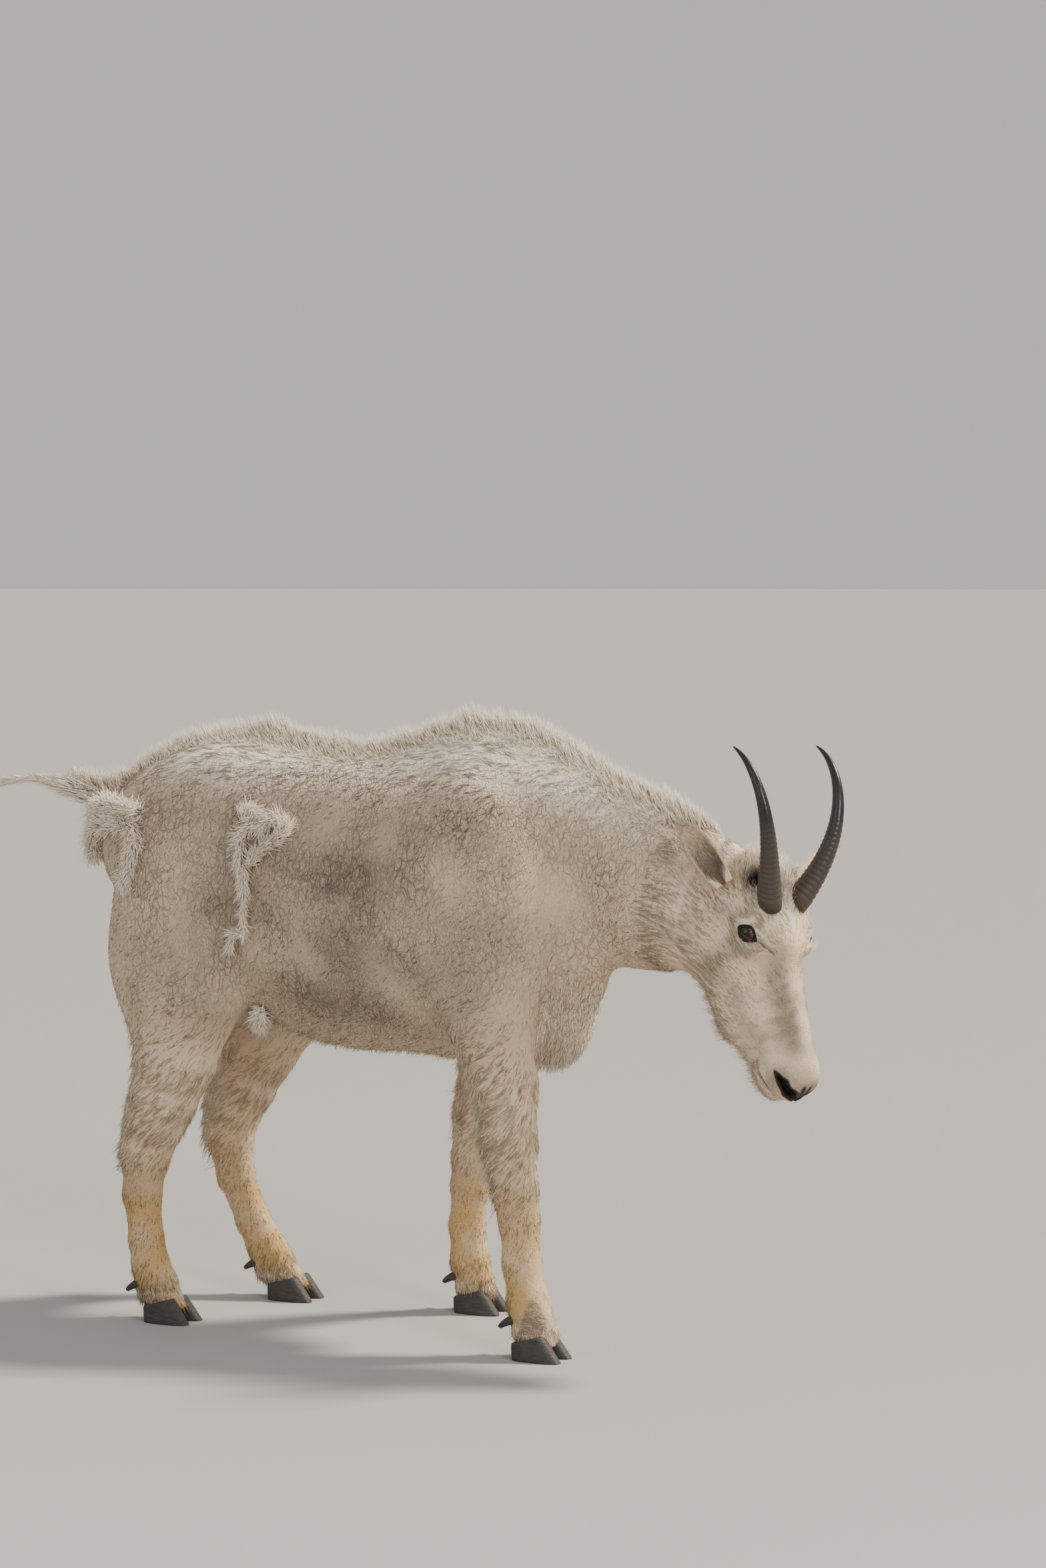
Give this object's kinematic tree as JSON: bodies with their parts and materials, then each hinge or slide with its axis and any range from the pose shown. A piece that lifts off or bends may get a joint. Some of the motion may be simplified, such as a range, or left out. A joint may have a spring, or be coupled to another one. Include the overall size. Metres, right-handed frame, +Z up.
{
  "type": "mountain goat model",
  "caption": "Life-size mountain goat standing with lowered, turned head, slim black horns, split hooves and a short pale coat.",
  "frame": {"origin": "on the floor, below the middle of the model's box", "axes": "+X forward, +Y to the goat's left, +Z up"},
  "size_m": [1.427, 0.3516, 0.9428],
  "materials": {
    "coat": "short cream hair",
    "leg_coat": "yellow-ochre hair of the lower legs",
    "horn": "near-black horn, ringed and duller at the root",
    "hoof": "dark grey hoof",
    "eye": "wet dark brown eye"
  },
  "bodies": {
    "root": {"dewclaw_foreleg_left_a": "hoof", "dewclaw_foreleg_left_b": "hoof", "dewclaw_foreleg_right_a": "hoof", "dewclaw_foreleg_right_b": "hoof", "dewclaw_hindleg_left_a": "hoof", "dewclaw_hindleg_left_b": "hoof", "dewclaw_hindleg_right_a": "hoof", "dewclaw_hindleg_right_b": "hoof", "ear_left": "coat", "ear_right": "coat", "eye_left": "eye", "eye_right": "eye", "foreleg_left_lower": "leg_coat", "foreleg_left_upper": "coat", "foreleg_right_lower": "leg_coat", "foreleg_right_upper": "coat", "head": "coat", "hindleg_left_lower": "leg_coat", "hindleg_left_upper": "coat", "hindleg_right_lower": "leg_coat", "hindleg_right_upper": "coat", "hoof_foreleg_left_a": "hoof", "hoof_foreleg_left_b": "hoof", "hoof_foreleg_right_a": "hoof", "hoof_foreleg_right_b": "hoof", "hoof_hindleg_left_a": "hoof", "hoof_hindleg_left_b": "hoof", "hoof_hindleg_right_a": "hoof", "hoof_hindleg_right_b": "hoof", "horn_left": "horn", "horn_right": "horn", "neck": "coat", "tail": "coat", "torso": "coat"}
  },
  "joints": []
}
